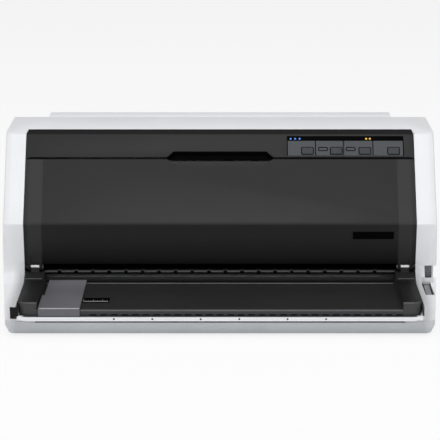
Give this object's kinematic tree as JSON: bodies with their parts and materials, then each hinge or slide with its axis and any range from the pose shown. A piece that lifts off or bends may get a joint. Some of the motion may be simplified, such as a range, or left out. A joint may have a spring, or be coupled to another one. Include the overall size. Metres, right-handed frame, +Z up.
{
  "type": "dot matrix printer",
  "caption": "Flatbed dot matrix printer with hinged smoked cover, front tray with sliding sheet guide, key panel, rear cover and working paper feed.",
  "frame": {"origin": "centre of the footprint, on the surface the feet stand on", "axes": "+Z up, -Y towards the user, +X to the user's right along the width"},
  "size_m": [0.48, 0.37, 0.188],
  "materials": {
    "white_plastic": "fine textured moulding",
    "grey_plastic": "fine textured moulding",
    "black_plastic": "fine textured moulding",
    "smoked_plastic": "smoked translucent",
    "guide_plastic": "fine textured moulding",
    "panel_plastic": "printed panel film",
    "label_film": "printed film",
    "lamp_plastic": "clear tinted",
    "steel": "ground",
    "plated_sheet": "zinc plated",
    "gear_plastic": "natural acetal",
    "rubber": "matt",
    "motor_can": "satin",
    "brass": "turned",
    "board": "solder resist"
  },
  "bodies": {
    "case": {"lower_case": "grey_plastic", "upper_case": "white_plastic", "front_fascia": "black_plastic", "cover_pins": "steel", "front_tray": "black_plastic", "scale_label": "label_film", "paper_entry_plate": "black_plastic", "front_guide_bar": "steel", "panel_frame": "panel_plastic", "panel_board": "board", "panel_lamps": "lamp_plastic", "switch_body": "black_plastic", "feed_motor": "motor_can", "platen": "black_plastic", "side_plates": "plated_sheet", "base_frame": "plated_sheet", "carriage_shaft": "steel", "guide_rail": "plated_sheet", "carriage_belt": "rubber", "carriage_motor": "motor_can", "circuit_board": "board", "power_supply": "plated_sheet", "mains_inlet": "black_plastic", "data_sockets": "plated_sheet", "tractor_support_shaft": "steel", "rubber_feet": "rubber", "case_screws": "steel", "pulley_bracket": "plated_sheet", "rear_cover_pins": "steel"},
    "cover": {"printer_cover": "smoked_plastic"},
    "guide": {"sheet_guide": "guide_plastic"},
    "button_1": {"button_1": "panel_plastic"},
    "button_2": {"button_2": "panel_plastic"},
    "button_3": {"button_3": "panel_plastic"},
    "button_4": {"button_4": "panel_plastic"},
    "rocker": {"power_rocker": "guide_plastic"},
    "front_roller": {"front_feed_roller": "rubber", "front_roller_gears": "gear_plastic"},
    "knob": {"thumb_knob": "guide_plastic", "knob_gear": "gear_plastic"},
    "rear_roller": {"rear_feed_roller": "rubber", "rear_roller_gear": "gear_plastic"},
    "front_pinch": {"front_pinch_roller": "rubber"},
    "rear_pinch": {"rear_pinch_roller": "rubber"},
    "idler": {"idler_gear": "gear_plastic"},
    "second_idler": {"feed_idler": "gear_plastic"},
    "pinion": {"motor_pinion": "brass"},
    "carriage": {"carriage": "black_plastic", "print_head": "motor_can", "ribbon_cartridge": "black_plastic"},
    "drive_pulley": {"drive_pulley": "brass"},
    "idler_pulley": {"idler_pulley": "gear_plastic"},
    "rear_cover": {"rear_cover": "white_plastic"},
    "tractor_shaft": {"tractor_shaft": "steel"},
    "left_tractor": {"left_tractor": "black_plastic"},
    "right_tractor": {"right_tractor": "black_plastic"},
    "left_sprocket": {"left_sprocket": "gear_plastic"},
    "right_sprocket": {"right_sprocket": "gear_plastic"},
    "lever": {"release_lever": "black_plastic"}
  },
  "joints": [
    {"name": "cover_hinge", "type": "hinge", "parent": "case", "child": "cover", "pos_m": [0, -0.0895, 0.0495], "axis": [1, 0, 0], "range_deg": [0, 78]},
    {"name": "rear_cover_hinge", "type": "hinge", "parent": "case", "child": "rear_cover", "pos_m": [0, 0.176, 0.138], "axis": [-1, 0, 0], "range_deg": [0, 95]},
    {"name": "guide_slide", "type": "slide", "parent": "case", "child": "guide", "axis": [1, 0, 0], "range_m": [0, 0.028]},
    {"name": "carriage_slide", "type": "slide", "parent": "case", "child": "carriage", "axis": [1, 0, 0], "range_m": [-0.15, 0.15]},
    {"name": "drive_pulley_turn", "type": "hinge", "parent": "case", "child": "drive_pulley", "pos_m": [0.183, 0.012, 0.096], "axis": [0, 1, 0], "range_deg": [-1200, 1200]},
    {"name": "idler_pulley_turn", "type": "hinge", "parent": "case", "child": "idler_pulley", "pos_m": [-0.183, 0.012, 0.096], "axis": [0, 1, 0], "range_deg": [-1200, 1200]},
    {"name": "front_roller_turn", "type": "hinge", "parent": "case", "child": "front_roller", "pos_m": [0, -0.064, 0.024], "axis": [1, 0, 0], "continuous": true},
    {"name": "knob_turn", "type": "hinge", "parent": "case", "child": "knob", "pos_m": [0.231, -0.08, 0.04189], "axis": [1, 0, 0], "continuous": true},
    {"name": "idler_turn", "type": "hinge", "parent": "case", "child": "idler", "pos_m": [-0.21, -0.036, 0.024], "axis": [1, 0, 0], "continuous": true},
    {"name": "rear_roller_turn", "type": "hinge", "parent": "case", "child": "rear_roller", "pos_m": [0, -0.008, 0.024], "axis": [1, 0, 0], "continuous": true},
    {"name": "second_idler_turn", "type": "hinge", "parent": "case", "child": "second_idler", "pos_m": [-0.21, 0.016, 0.024], "axis": [1, 0, 0], "continuous": true},
    {"name": "pinion_turn", "type": "hinge", "parent": "case", "child": "pinion", "pos_m": [-0.21, 0.034, 0.024], "axis": [1, 0, 0], "continuous": true},
    {"name": "front_pinch_turn", "type": "hinge", "parent": "case", "child": "front_pinch", "pos_m": [0, -0.064, 0.0378], "axis": [1, 0, 0], "continuous": true},
    {"name": "rear_pinch_turn", "type": "hinge", "parent": "case", "child": "rear_pinch", "pos_m": [0, -0.008, 0.0378], "axis": [1, 0, 0], "continuous": true},
    {"name": "rocker_hinge", "type": "hinge", "parent": "case", "child": "rocker", "pos_m": [0.2274, -0.123, 0.03], "axis": [1, 0, 0], "range_deg": [-8, 0]},
    {"name": "lever_hinge", "type": "hinge", "parent": "case", "child": "lever", "pos_m": [0.2252, 0.13, 0.14], "axis": [1, 0, 0], "range_deg": [0, 20]},
    {"name": "tractor_shaft_turn", "type": "hinge", "parent": "case", "child": "tractor_shaft", "pos_m": [0, 0.123, 0.092], "axis": [1, 0, 0], "continuous": true},
    {"name": "left_tractor_slide", "type": "slide", "parent": "case", "child": "left_tractor", "axis": [1, 0, 0], "range_m": [-0.05, 0.06]},
    {"name": "right_tractor_slide", "type": "slide", "parent": "case", "child": "right_tractor", "axis": [1, 0, 0], "range_m": [-0.06, 0.05]},
    {"name": "left_sprocket_turn", "type": "hinge", "parent": "left_tractor", "child": "left_sprocket", "pos_m": [-0.13, 0.123, 0.092], "axis": [1, 0, 0], "continuous": true},
    {"name": "right_sprocket_turn", "type": "hinge", "parent": "right_tractor", "child": "right_sprocket", "pos_m": [0.13, 0.123, 0.092], "axis": [1, 0, 0], "continuous": true},
    {"name": "button_1_press", "type": "slide", "parent": "case", "child": "button_1", "axis": [0, 0.8365, -0.5479], "range_m": [0, 0.001], "stiffness_N_per_m": 300, "springref_m": -0.0003},
    {"name": "button_2_press", "type": "slide", "parent": "case", "child": "button_2", "axis": [0, 0.8365, -0.5479], "range_m": [0, 0.001], "stiffness_N_per_m": 300, "springref_m": -0.0003},
    {"name": "button_3_press", "type": "slide", "parent": "case", "child": "button_3", "axis": [0, 0.8365, -0.5479], "range_m": [0, 0.001], "stiffness_N_per_m": 300, "springref_m": -0.0003},
    {"name": "button_4_press", "type": "slide", "parent": "case", "child": "button_4", "axis": [0, 0.8365, -0.5479], "range_m": [0, 0.001], "stiffness_N_per_m": 300, "springref_m": -0.0003}
  ],
  "couplings": [
    {"joint": "knob_turn", "follows": "front_roller_turn", "ratio": -2},
    {"joint": "idler_turn", "follows": "front_roller_turn", "ratio": -0.75},
    {"joint": "rear_roller_turn", "follows": "front_roller_turn", "ratio": 1},
    {"joint": "second_idler_turn", "follows": "front_roller_turn", "ratio": -1},
    {"joint": "pinion_turn", "follows": "front_roller_turn", "ratio": 2},
    {"joint": "front_pinch_turn", "follows": "front_roller_turn", "ratio": -2},
    {"joint": "rear_pinch_turn", "follows": "front_roller_turn", "ratio": -2},
    {"joint": "drive_pulley_turn", "follows": "carriage_slide", "rad_per_m": -133.33},
    {"joint": "idler_pulley_turn", "follows": "carriage_slide", "rad_per_m": -133.33},
    {"joint": "left_sprocket_turn", "follows": "tractor_shaft_turn", "ratio": 1},
    {"joint": "right_sprocket_turn", "follows": "tractor_shaft_turn", "ratio": 1}
  ]
}
